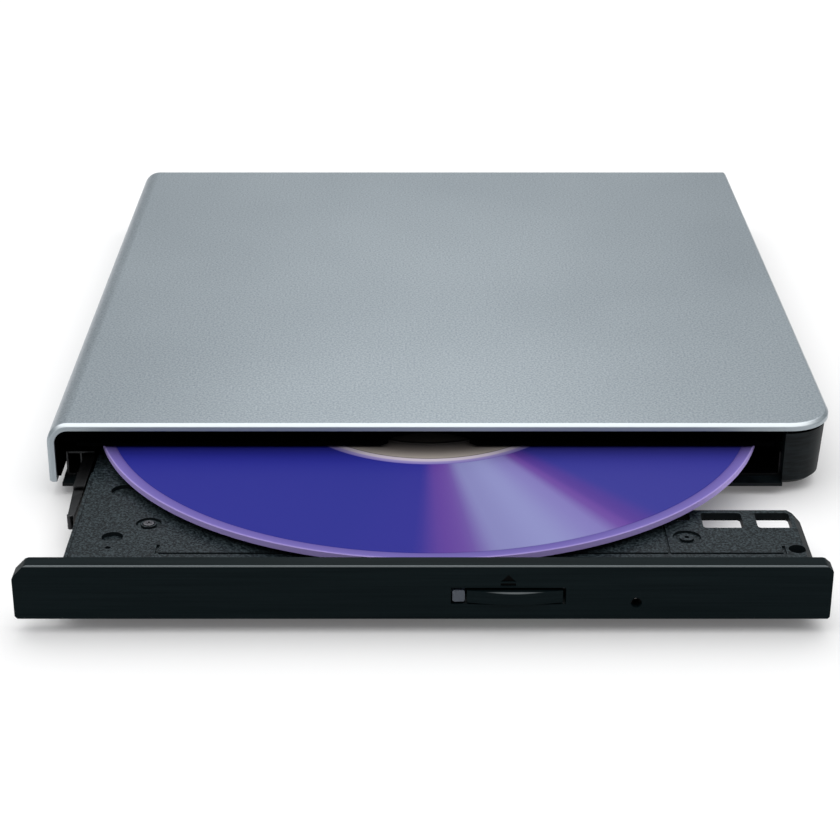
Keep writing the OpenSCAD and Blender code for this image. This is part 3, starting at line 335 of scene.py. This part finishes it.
def bezel_black(name, node, edge, sunk):
    """Satin black moulding: faint lines along it, a painted highlight line on the top front edge, and
    painted shade in pure black where it is sunk.

    edge is the painted highlight line's width, and sunk how far behind the front an upright face is painted
    black as shade.
    """
    low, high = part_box(node)
    s = Shader(name, rough=0.42, specular=0.035)
    lines = s.noise(700, detail=4, rough=0.6, stretch=(0.06, 1, 4))
    grain = s.noise(3000, detail=2)
    face = s.ramp(lines, (0.0020, 0.0050, 0.0060), (0.0040, 0.0080, 0.0092), 0.35, 0.65)
    at = s.axes(s.place)
    inward = s.math("SUBTRACT", at["Y"], low.y)
    downward = s.math("SUBTRACT", high.z, at["Z"])
    # painted highlight: a light line along the top front edge
    highlight_line = s.within(s.math("ADD", inward, downward), 1.25 * edge, 0.75 * edge)
    lit = s.mix(highlight_line, face, (0.13, 0.145, 0.15))
    # painted shade: upright faces sunk behind the front are painted pure black
    below = s.math("GREATER_THAN", at["Y"], low.y + sunk)
    upright = s.math("GREATER_THAN", s.math("MULTIPLY", s.facing("Y"), -1.0), 0.9)
    s.colour(s.mix(s.math("MULTIPLY", below, upright), lit, (0.0, 0.0, 0.0)))
    s.roughness(s.level(grain, 0.36, 0.5))
    s.bump(lines, 0.006 * MM, 0.3)
    return s.material


def tray_grey():
    """Dark grey moulding with a leather-like grain on its flat faces, and smoother walls painted darker as
    painted shade.
    """
    s = Shader("tray_grey", rough=0.45, specular=0.10)
    fine = s.noise(2500, detail=3, rough=0.7)
    broad = s.noise(60, detail=2)
    dark = (0.0008, 0.0026, 0.0038)
    tone = s.ramp(fine, dark, (0.052, 0.070, 0.078), 0.42, 0.74)
    body = s.mix(s.level(broad, 0.0, 0.25), tone, dark)
    # painted shade: walls and slopes, which face away from the overhead light, are painted darker than the
    # flat faces
    flat = s.within(s.facing("Z"), 0.81, 0.97)
    s.colour(s.mix(flat, (0.0035, 0.0055, 0.0065), body))
    s.roughness(s.level(fine, 0.37, 0.55))
    s.bump(s.math("MULTIPLY", fine, flat), 0.09 * MM, 0.6)
    return s.material


def light_guide():
    s = Shader("light_guide", rough=0.35, specular=0.5)
    frost = s.noise(1800, detail=3)
    s.colour(s.ramp(frost, (0.036, 0.046, 0.064), (0.054, 0.068, 0.092)))
    s.bsdf.inputs["Transmission Weight"].default_value = 0.25
    s.bump(frost, 0.01 * MM, 0.4)
    return s.material


def rubber():
    s = Shader("rubber", rough=0.8, specular=0.3)
    grit = s.noise(2600, detail=4, rough=0.7)
    s.colour(s.ramp(grit, (0.012, 0.012, 0.012), (0.035, 0.035, 0.034)))
    s.bump(grit, 0.03 * MM, 0.6)
    return s.material


def sheet_metal(name, dark, light, rough):
    """Coated sheet: soft spangle cells with fine rolling lines."""
    s = Shader(name, rough=rough, metal=1.0)
    spangle = s.cells(420, output="Color")
    split = s.node("ShaderNodeSeparateColor")
    s.link(spangle, split.inputs[0])
    rolled = s.noise(500, detail=3, stretch=(1, 0.05, 1))
    tone = s.ramp(split.outputs[0], dark, light, 0.0, 1.0)
    s.colour(s.mix(0.35, tone, s.ramp(rolled, dark, light)))
    s.roughness(s.level(rolled, rough - 0.08, rough + 0.1))
    s.bump(rolled, 0.006 * MM, 0.4)
    return s.material


def ground_steel():
    s = Shader("ground_steel", rough=0.18, metal=1.0)
    rings = s.noise(1500, detail=2, stretch=(1, 1, 0.2))
    s.colour(s.ramp(rings, (0.52, 0.53, 0.54), (0.72, 0.73, 0.74)))
    s.roughness(s.level(rings, 0.12, 0.26))
    s.bump(rings, 0.003 * MM, 0.3)
    return s.material


def circuit_board():
    """Solder mask over copper tracks, with scattered pads."""
    s = Shader("circuit_board", rough=0.35, specular=0.5)
    tracks = s.node("ShaderNodeTexBrick")
    tracks.inputs["Scale"].default_value = 260
    tracks.inputs["Mortar Size"].default_value = 0.035
    tracks.inputs["Color1"].default_value = (0.004, 0.06, 0.03, 1)
    tracks.inputs["Color2"].default_value = (0.005, 0.07, 0.035, 1)
    tracks.inputs["Mortar"].default_value = (0.02, 0.16, 0.08, 1)
    s.link(s.place, tracks.inputs["Vector"])
    pads = s.cells(330)
    ring = s.ramp(pads, (0.62, 0.52, 0.26), (0.0, 0.0, 0.0), 0.05, 0.16)
    s.colour(s.mix(1.0, tracks.outputs["Color"], ring, "LIGHTEN"))
    s.bump(tracks.outputs["Fac"], 0.02 * MM, 0.4)
    return s.material


def copper_coil():
    """Enamelled winding: fine turns side by side."""
    s = Shader("copper_coil", rough=0.3, metal=0.9)
    turns = s.node("ShaderNodeTexWave", wave_type="BANDS", bands_direction="DIAGONAL")
    turns.inputs["Scale"].default_value = 900
    turns.inputs["Distortion"].default_value = 1.5
    s.link(s.place, turns.inputs["Vector"])
    s.colour(s.ramp(turns.outputs["Fac"], (0.24, 0.09, 0.025), (0.66, 0.33, 0.13), 0.1, 0.9))
    s.bump(turns.outputs["Fac"], 0.04 * MM, 0.8)
    return s.material


def natural_plastic():
    s = Shader("natural_plastic", rough=0.42, specular=0.5)
    haze = s.noise(160, detail=4)
    s.colour(s.ramp(haze, (0.56, 0.54, 0.47), (0.72, 0.71, 0.65)))
    s.bsdf.inputs["Subsurface Weight"].default_value = 0.15
    s.bsdf.inputs["Subsurface Radius"].default_value = (0.0012, 0.0011, 0.0009)
    s.bump(s.noise(1400), 0.01 * MM, 0.4)
    return s.material


def die_cast():
    s = Shader("die_cast", rough=0.42, metal=1.0)
    flow = s.noise(220, detail=5, rough=0.6)
    s.colour(s.ramp(flow, (0.30, 0.31, 0.33), (0.48, 0.49, 0.51)))
    s.roughness(s.level(flow, 0.35, 0.52))
    s.bump(s.noise(1500, detail=3), 0.02 * MM, 0.5)
    return s.material


def turned_metal(name, centre, dark, light):
    """Turned metal: fine rings about an upright axis through centre."""
    s = Shader(name, rough=0.25, metal=1.0)
    turned = s.rings(s.from_centre(centre), 1800, 0.4)
    s.colour(s.ramp(turned, dark, light, 0.0, 1.0))
    s.bump(turned, 0.004 * MM, 0.5)
    return s.material


def ribbon():
    """Flat ribbon: conductors that run along Y under a clear film."""
    s = Shader("ribbon", rough=0.3, specular=0.5)
    pitch = 0.5 * MM
    wave = s.math("SINE", s.math("MULTIPLY", s.axes(s.place)["X"], 2 * math.pi / pitch))
    s.colour(s.ramp(wave, (0.74, 0.72, 0.66), (0.50, 0.47, 0.40), 0.0, 1.0))
    s.bump(wave, 0.015 * MM, 0.5)
    return s.material


def chip_black():
    s = Shader("chip_black", rough=0.55, specular=0.4)
    grit = s.noise(3500, detail=3)
    s.colour(s.ramp(grit, (0.010, 0.010, 0.011), (0.030, 0.030, 0.032)))
    s.bump(grit, 0.012 * MM, 0.6)
    return s.material


def lens_glass():
    s = Shader("lens_glass", rough=0.04, specular=0.6)
    edge = s.node("ShaderNodeLayerWeight")
    edge.inputs["Blend"].default_value = 0.4
    s.colour(s.ramp(edge.outputs["Facing"], (0.20, 0.26, 0.55), (0.55, 0.75, 0.95), 0.1, 0.8))
    s.bsdf.inputs["Transmission Weight"].default_value = 0.6
    s.bsdf.inputs["Coat Weight"].default_value = 1.0
    return s.material


def led_body():
    s = Shader("led_body", rough=0.2, specular=0.5)
    haze = s.noise(900)
    s.colour(s.ramp(haze, (0.55, 0.60, 0.42), (0.72, 0.76, 0.58)))
    s.bsdf.inputs["Transmission Weight"].default_value = 0.4
    return s.material


def screw_steel():
    s = Shader("screw_steel", rough=0.35, metal=1.0)
    wear = s.noise(900, detail=4)
    s.colour(s.ramp(wear, (0.05, 0.05, 0.055), (0.14, 0.14, 0.15)))
    s.roughness(s.level(wear, 0.28, 0.48))
    s.bump(wear, 0.008 * MM, 0.4)
    return s.material


def disc_dye_and_glints(centre):
    """A recordable disc's written side: violet dye, clear inner and outer rings, two warm glints painted
    into the dye as painted reflections, and a rim edge painted lighter as painted light.
    """
    s = Shader("disc_face", rough=0.55, metal=0.1, specular=0.08)
    about = s.from_centre(centre)
    at = s.axes(about)
    x, y = at["X"], at["Y"]
    radius = s.math("SQRT", s.math("ADD", s.math("MULTIPLY", x, x), s.math("MULTIPLY", y, y)))
    # angle from the way to the front, positive to the right, as a share of a turn
    turn = s.math("DIVIDE", s.math("ARCTAN2", x, s.math("MULTIPLY", y, -1.0)), 2 * math.pi)
    # painted reflection: two warm glint streaks painted into the dye by angle about the centre
    painted_glints = s.spectrum(s.math("ADD", turn, 0.5), "EASE", [
        (0.0, (0.015, 0.017, 0.20)), (0.45, (0.014, 0.016, 0.195)), (0.492, (0.017, 0.016, 0.20)),
        (0.508, (0.080, 0.033, 0.225)), (0.516, (0.095, 0.045, 0.24)), (0.532, (0.165, 0.165, 0.35)),
        (0.555, (0.19, 0.196, 0.39)), (0.580, (0.16, 0.14, 0.35)), (0.592, (0.105, 0.045, 0.245)),
        (0.600, (0.060, 0.028, 0.21)), (0.616, (0.026, 0.026, 0.21)), (1.0, (0.015, 0.017, 0.20)),
    ])
    share = s.math("DIVIDE", radius, DISC_RADIUS)
    # the last stop paints the disc's outer edge face much lighter than the rim ring, as painted light
    rings = s.spectrum(share, "LINEAR", [
        (0.0, (0.05, 0.045, 0.04)), (0.27, (0.07, 0.06, 0.055)), (0.285, (0.01, 0.009, 0.01)),
        (0.30, (0.09, 0.08, 0.075)), (0.335, (0.13, 0.115, 0.105)), (0.383, (0.28, 0.25, 0.225)),
        (0.384, (0.012, 0.011, 0.011)), (0.387, (0.012, 0.011, 0.011)), (0.389, (0.46, 0.41, 0.47)),
        (0.404, (0.44, 0.39, 0.47)), (0.410, (0.24, 0.20, 0.40)), (0.422, (0.17, 0.14, 0.35)),
        (0.428, (0.055, 0.045, 0.24)), (0.966, (0.070, 0.050, 0.22)), (0.974, (0.105, 0.078, 0.28)),
        (0.992, (0.13, 0.10, 0.32)), (0.998, (0.16, 0.125, 0.37)), (1.0, (0.42, 0.33, 0.70)),
    ])
    past_start = s.math("GREATER_THAN", share, DYE_START)
    before_end = s.math("LESS_THAN", share, DYE_END)
    s.colour(s.mix(s.math("MULTIPLY", past_start, before_end), rings, painted_glints))
    s.bump(s.rings(about, 900), 0.001 * MM, 0.15)
    return s.material


# ---------------------------------------------------------------- pieces built here

def make_piece(name, points, faces, material, body, replaces):
    """A smooth-shaded mesh with its material, standing for a CAD node, on a body unless body is None."""
    mesh = bpy.data.meshes.new(name)
    mesh.from_pydata(points, [], faces)
    shape = bmesh.new()
    shape.from_mesh(mesh)
    bmesh.ops.recalc_face_normals(shape, faces=shape.faces)
    shape.to_mesh(mesh)
    shape.free()
    mesh.shade_smooth()
    mesh.set_sharp_from_angle(angle=math.radians(35))
    mesh.materials.append(material)
    piece = bpy.data.objects.new(name, mesh)
    bpy.context.scene.collection.objects.link(piece)
    if body:
        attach(piece, body)
    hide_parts(replaces)
    return piece


def wrap(rings, count, closed=False):
    """Quads between neighbouring rings of count points; closed joins the last ring to the first."""
    faces = []
    for i in range(rings if closed else rings - 1):
        for j in range(count):
            a, b = i * count + j, i * count + (j + 1) % count
            c = ((i + 1) % rings) * count
            faces.append((a, b, c + (j + 1) % count, c + j))
    return faces


def lathe(profile, centre, steps):
    """Points and faces of a closed profile of (radius, height) turned about an upright axis."""
    points = []
    for i in range(steps):
        turn = 2 * math.pi * i / steps
        for radius, height in profile:
            points.append((centre.x + radius * math.cos(turn), centre.y + radius * math.sin(turn), height))
    return points, wrap(steps, len(profile), closed=True)


def tube(path, radius, sides):
    """Points and faces of a round wire along a path, with flat ends."""
    points = []
    for i, here in enumerate(path):
        along = path[min(i + 1, len(path) - 1)] - path[max(i - 1, 0)]
        across = along.cross(Vector((0, 1, 0))).normalized()
        up = across.cross(along).normalized()
        for j in range(sides):
            turn = 2 * math.pi * j / sides
            points.append(here + radius * (math.cos(turn) * across + math.sin(turn) * up))
    last = (len(path) - 1) * sides
    ends = [tuple(range(sides)), tuple(last + j for j in range(sides))]
    return points, wrap(len(path), sides) + ends


def make_disc(material):
    """The disc, with its rounded hole and rim, clamping ledge, stacking ring and dye edges."""
    low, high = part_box("disc")
    rim = high.x - (low.x + high.x) / 2
    edge = 0.12 * MM
    groove = 0.06 * MM
    slope = 0.08 * MM
    ring_in, ring_out, ring_slope = 16.6 * MM, 18.2 * MM, 0.2 * MM
    top = [(DISC_HOLE, high.z - edge), (DISC_HOLE + edge, high.z)]
    # inner radius and width in millimetres, and height in groove depths
    for start, width, rise in ((10.8, 0.5, -1), (16.6, 0.9, 2), (23.0, 0.25, -1), (57.95, 0.2, -1)):
        near, far = start * MM, (start + width) * MM
        height = high.z + rise * groove
        top += [(near, high.z), (near + slope, height), (far - slope, height), (far, high.z)]
    top += [(rim - edge, high.z), (rim, high.z - edge)]
    under = [(rim, low.z + edge), (rim - edge, low.z)]
    under += [(ring_out, low.z), (ring_out - ring_slope, low.z - groove)]
    under += [(ring_in + ring_slope, low.z - groove), (ring_in, low.z)]
    under += [(DISC_HOLE + edge, low.z), (DISC_HOLE, low.z + edge)]
    points, faces = lathe(top + under, node_centre("disc"), 288)
    make_piece("recorded_disc", points, faces, material, "rotor", "disc")


def make_pusher_spring(material):
    """The eject spring as one wound wire with closed ends, standing between pusher and seat."""
    low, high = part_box("pusher_spring")
    middle = node_centre("pusher_spring")
    wire = 0.17 * MM
    coil = (high.x - low.x) / 2 - wire
    turns, per_turn = 11, 20
    path = []
    for i in range(turns * per_turn + 1):
        turn = i / per_turn
        # the first and last turn lie flat against their seats
        share = min(max((turn - 1) / (turns - 2), 0.0), 1.0)
        closed = 2 * wire * (min(turn, 1.0) + min(max(turn - turns + 1, 0.0), 1.0))
        # two closed turns and the wire's own ends take six radii of the height
        y = low.y + wire + closed + share * (high.y - low.y - 6 * wire)
        angle = 2 * math.pi * turn
        path.append(Vector((middle.x + coil * math.cos(angle), y, middle.z + coil * math.sin(angle))))
    points, faces = tube(path, wire, 8)
    make_piece("wound_pusher_spring", points, faces, material, "tray", "pusher_spring")


def make_ribbon(material):
    """The flat ribbon as one fixed piece: lower run, fold, and upper run, with raised conductors."""
    low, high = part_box("flex_cable")
    left, right = low.x, low.x + 14 * MM
    thick = 0.1 * MM
    ridge_height = 0.012 * MM
    fold = low.y + (high.z - low.z) / 2
    tray_end = 6 * MM
    bend = (high.z - low.z - thick) / 2
    lower_steps, fold_steps, upper_steps = 34, 12, 15
    path = []
    for i in range(lower_steps + 1):
        path.append((high.y + (fold - high.y) * i / lower_steps, low.z + thick / 2))
    for i in range(1, fold_steps):
        turn = math.pi * i / fold_steps
        path.append((fold - bend * math.sin(turn), low.z + thick / 2 + bend * (1 - math.cos(turn))))
    for i in range(upper_steps + 1):
        path.append((fold + (tray_end - fold) * i / upper_steps, high.z - thick / 2))
    columns = 57
    points = []
    for i, (y, z) in enumerate(path):
        before, after = path[max(i - 1, 0)], path[min(i + 1, len(path) - 1)]
        along = Vector((0, after[0] - before[0], after[1] - before[1])).normalized()
        outward = Vector((0, -along.z, along.y))
        ring = []
        for side in (-1, 1):
            for j in range(columns):
                k = j if side < 0 else columns - 1 - j
                ridge = ridge_height * (k % 4 in (1, 2)) * (0 < k < columns - 1)
                x = left + (right - left) * k / (columns - 1)
                ring.append(Vector((x, y, z)) + side * (thick / 2 - ridge_height + ridge) * outward)
        points += ring
    count = 2 * columns
    last = (len(path) - 1) * count
    faces = wrap(len(path), count) + [tuple(range(count)), tuple(last + j for j in range(count))]
    # branch to the main board's connector
    start = len(points)
    branch_front = high.y - 12 * MM
    outline = ((right, high.y), (right, branch_front), (high.x, branch_front), (high.x, high.y))
    for z in (low.z, low.z + thick):
        points += [Vector((x, y, z)) for x, y in outline]
    faces += [tuple(start + k for k in face) for face in (
        (0, 1, 2, 3), (4, 5, 6, 7), (0, 1, 5, 4), (1, 2, 6, 5), (2, 3, 7, 6), (3, 0, 4, 7))]
    ribbon_piece = make_piece("folded_ribbon", points, faces, material, None, "flex_cable")
    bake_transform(ribbon_piece)


# ---------------------------------------------------------------- CAD nodes that stay

def soften(node, width):
    """Rounds a carried-over node's hard edges, without moving its mesh."""
    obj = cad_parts[node]
    weld = obj.modifiers.new("weld", "WELD")
    weld.merge_threshold = 0.002 * MM
    planar = obj.modifiers.new("planar", "DECIMATE")
    planar.decimate_type = "DISSOLVE"
    planar.angle_limit = math.radians(0.8)
    bevel = obj.modifiers.new("bevel", "BEVEL")
    bevel.width = width
    bevel.segments = 2
    bevel.limit_method = "ANGLE"
    bevel.angle_limit = SHARP_ANGLE
    bevel.use_clamp_overlap = True
    weighted = obj.modifiers.new("weighted", "WEIGHTED_NORMAL")
    weighted.keep_sharp = True
    for polygon in obj.data.polygons:
        polygon.use_smooth = True


def paint(material, edge, *nodes):
    """Gives nodes a material, and rounds their hard edges to a width of edge, where it isn't 0."""
    for node in nodes:
        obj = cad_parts[node]
        obj.data.materials.clear()
        obj.data.materials.append(material)
        if edge:
            soften(node, edge)


def node_centre(node):
    low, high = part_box(node)
    return (low + high) / 2


make_camera()
make_world()
make_floor()
make_softbox("overhead", (0.0, 0.1, 1.6), (0, 0.1, 0), (3.2, 3.2), 36)
make_softbox("behind", (0.0, 1.25, 0.95), (0, 0, 0), (0.35, 0.5), 1.0)

spindle = node_centre("disc")
case_black = moulded("case_black", (0.0005, 0.0018, 0.0025), (0.0085, 0.013, 0.015), 0.5, 2000, 0.02 * MM,
                     0.12, lay=(0.12, 0.12, 1.3))
# frame_black is near black with no specular: partly the frame's own black, partly painted shade for the dark
# band under the cover's front edge
frame_black = moulded("frame_black", (0.0004, 0.0005, 0.0006), (0.001, 0.0011, 0.0012), 0.7, 2000, 0.02 * MM,
                      0.0, 0.0)
paint(silver_paint(), 0.12 * MM, "top_cover")
paint(case_black, 0.15 * MM, "bottom_case")
paint(frame_black, 0.08 * MM, "upper_frame")
paint(rubber(), 0.1 * MM, "rubber_feet", "damper_grommets", "hub_pad")
paint(screw_steel(), 0.04 * MM,
      "case_screws", "board_screws", "drive_screws", "tray_screws", "traverse_screws")
paint(sheet_metal("zinc_steel", (0.42, 0.43, 0.44), (0.58, 0.59, 0.60), 0.34), 0.06 * MM,
      "top_shield", "usb_socket", "tray_underside_cover", "traverse_plate", "sled_motor")
paint(sheet_metal("rail_steel", (0.018, 0.019, 0.020), (0.045, 0.046, 0.048), 0.36), 0.1 * MM,
      "base_pan", "left_outer_rail", "right_outer_rail", "left_rail", "right_rail", "actuator_frame")
steel = ground_steel()
paint(steel, 0, "latch_post", "main_guide_rod", "support_guide_rod", "solenoid_plunger", "lead_screw")
make_pusher_spring(steel)
paint(circuit_board(), 0.04 * MM, "main_board", "bridge_board", "front_board")
paint(chip_black(), 0.06 * MM,
      "main_board_chips", "bridge_board_chips", "drive_connector", "bridge_connector",
      "usb_contacts", "rod_clamps", "lens_holder", "eject_switch")
paint(bezel_black("bezel_black", "bezel", 0.2 * MM, 0.12 * MM), 0.22 * MM, "bezel")
paint(bezel_black("button_black", "eject_button", 0.45 * MM, 1.0 * MM), 0.2 * MM, "eject_button")
paint(light_guide(), 0.08 * MM, "led_lens")
paint(tray_grey(), 0.12 * MM, "tray")
paint(copper_coil(), 0.05 * MM, "spindle_stator", "eject_solenoid", "laser_module")
paint(natural_plastic(), 0.08 * MM,
      "screw_bearing", "eject_pusher", "clamp_claws", "screw_follower", "latch_lever")
paint(die_cast(), 0.1 * MM, "pickup_sled")
paint(turned_metal("hub_metal", spindle, (0.45, 0.45, 0.46), (0.62, 0.62, 0.63)), 0.08 * MM, "spindle_hub")
make_ribbon(ribbon())
paint(lens_glass(), 0, "objective_lens")
paint(led_body(), 0.1 * MM, "status_led")
make_disc(disc_dye_and_glints(spindle))

bpy.context.scene.view_settings.view_transform = "Standard"
